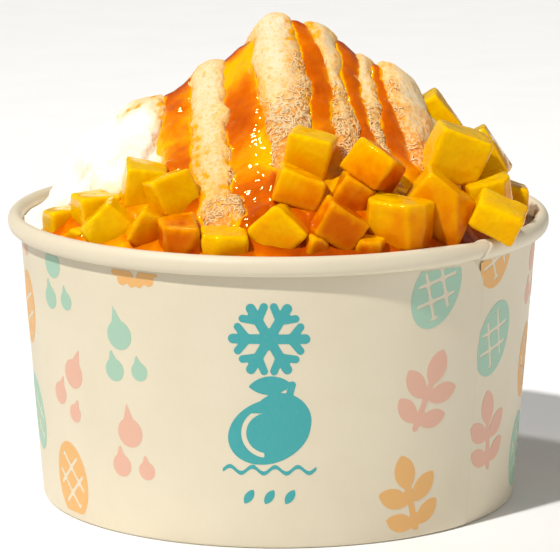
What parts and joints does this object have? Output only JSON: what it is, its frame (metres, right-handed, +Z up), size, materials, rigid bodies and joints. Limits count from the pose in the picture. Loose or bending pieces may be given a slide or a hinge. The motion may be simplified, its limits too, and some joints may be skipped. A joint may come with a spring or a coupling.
{
  "type": "bingsu",
  "caption": "Mango bingsu: a mound of shaved milk ice with mango syrup and diced mango, heaped in a round paper tub with a rolled rim.",
  "frame": {"origin": "centre of the tub's foot, on the surface it stands on", "axes": "+Z up, -Y towards the viewer of the picture, +X to the right; the ice's ridge runs along X"},
  "size_m": [0.15, 0.15, 0.1343],
  "materials": {
    "paper": "cream coated board, satin",
    "teal_print": "matt printed ink",
    "mint_print": "matt printed ink",
    "salmon_print": "matt printed ink",
    "orange_print": "matt printed ink",
    "ice": "shaved milk ice, porous and matt, stained with syrup",
    "mango": "ripe mango flesh, wet and slightly translucent",
    "syrup": "glossy clear orange mango syrup"
  },
  "bodies": {
    "root": {"tub_wall": "paper", "tub_base": "paper", "ice": "ice", "mango_01": "mango", "mango_02": "mango", "mango_03": "mango", "mango_04": "mango", "mango_05": "mango", "mango_06": "mango", "mango_07": "mango", "mango_08": "mango", "mango_09": "mango", "mango_10": "mango", "mango_11": "mango", "mango_12": "mango", "mango_13": "mango", "mango_14": "mango", "mango_15": "mango", "mango_16": "mango", "mango_17": "mango", "mango_18": "mango", "mango_19": "mango", "mango_20": "mango", "mango_21": "mango", "mango_22": "mango", "mango_23": "mango", "mango_24": "mango", "mango_25": "mango", "mango_26": "mango", "mango_27": "mango", "mango_28": "mango", "mango_29": "mango", "mango_30": "mango", "mango_31": "mango", "mango_32": "mango", "mango_33": "mango", "mango_34": "mango", "mango_35": "mango", "mango_36": "mango", "mango_37": "mango", "mango_38": "mango"}
  },
  "joints": []
}
